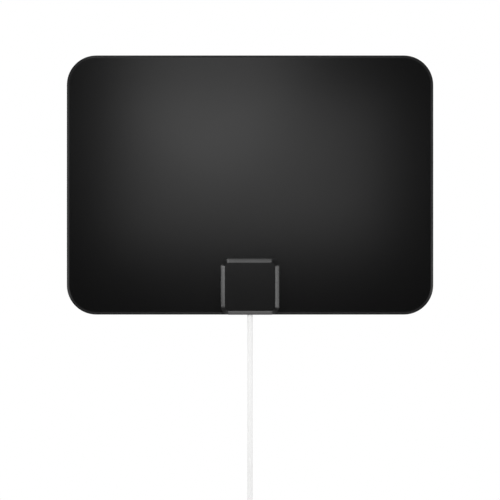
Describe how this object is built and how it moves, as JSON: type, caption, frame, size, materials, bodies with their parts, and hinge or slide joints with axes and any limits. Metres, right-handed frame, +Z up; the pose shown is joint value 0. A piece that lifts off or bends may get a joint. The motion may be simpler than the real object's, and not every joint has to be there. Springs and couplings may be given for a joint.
{
  "type": "flat indoor television antenna",
  "caption": "Thin rectangular indoor television antenna panel with rounded corners, a bevelled terminal housing on its lower edge and a coaxial lead with a screw-on plug.",
  "frame": {"origin": "middle of the panel's back face, on the wall it is stuck to", "axes": "+X to the right and +Z up as the front is seen, +Y out of the back into the wall"},
  "size_m": [0.33, 0.0247, 0.5342],
  "materials": {
    "black_sheet": "satin",
    "white_sheet": "matt",
    "foil": "rolled foil",
    "black_shell": "moulded, low gloss",
    "white_shell": "moulded, fine grain",
    "screw_steel": "zinc plated",
    "board": "solder mask",
    "ferrite": "sintered",
    "enamelled_wire": "enamelled copper",
    "contact_brass": "stamped",
    "clamp_plastic": "moulded",
    "dielectric": "polyethylene",
    "conductor": "copper",
    "tinned_braid": "tinned copper",
    "cable_jacket": "smooth, soft",
    "tie_strap": "woven strap",
    "nickel": "nickel plated"
  },
  "bodies": {
    "antenna": {"front_sheet": "black_sheet", "back_sheet": "white_sheet", "left_element": "foil", "right_element": "foil", "front_cover": "black_shell", "rear_cover": "white_shell", "cover_screws": "screw_steel", "clamp_screws": "screw_steel", "balun_board": "board", "balun_core": "ferrite", "balun_winding": "enamelled_wire", "left_contact": "contact_brass", "right_contact": "contact_brass", "cable_clamp": "clamp_plastic", "cable_dielectric": "dielectric", "plug_dielectric": "dielectric", "cable_conductor": "conductor", "plug_pin": "conductor", "cable_braid": "tinned_braid", "cable": "cable_jacket", "cable_coil": "cable_jacket", "cable_tail": "cable_jacket", "coil_tie": "tie_strap", "plug_body": "nickel"},
    "nut": {"coupling_nut": "nickel"}
  },
  "joints": [
    {"name": "nut_spin", "type": "hinge", "parent": "antenna", "child": "nut", "pos_m": [-0.036, -0.0192, -0.40976], "axis": [0, 0, -1], "continuous": true}
  ]
}
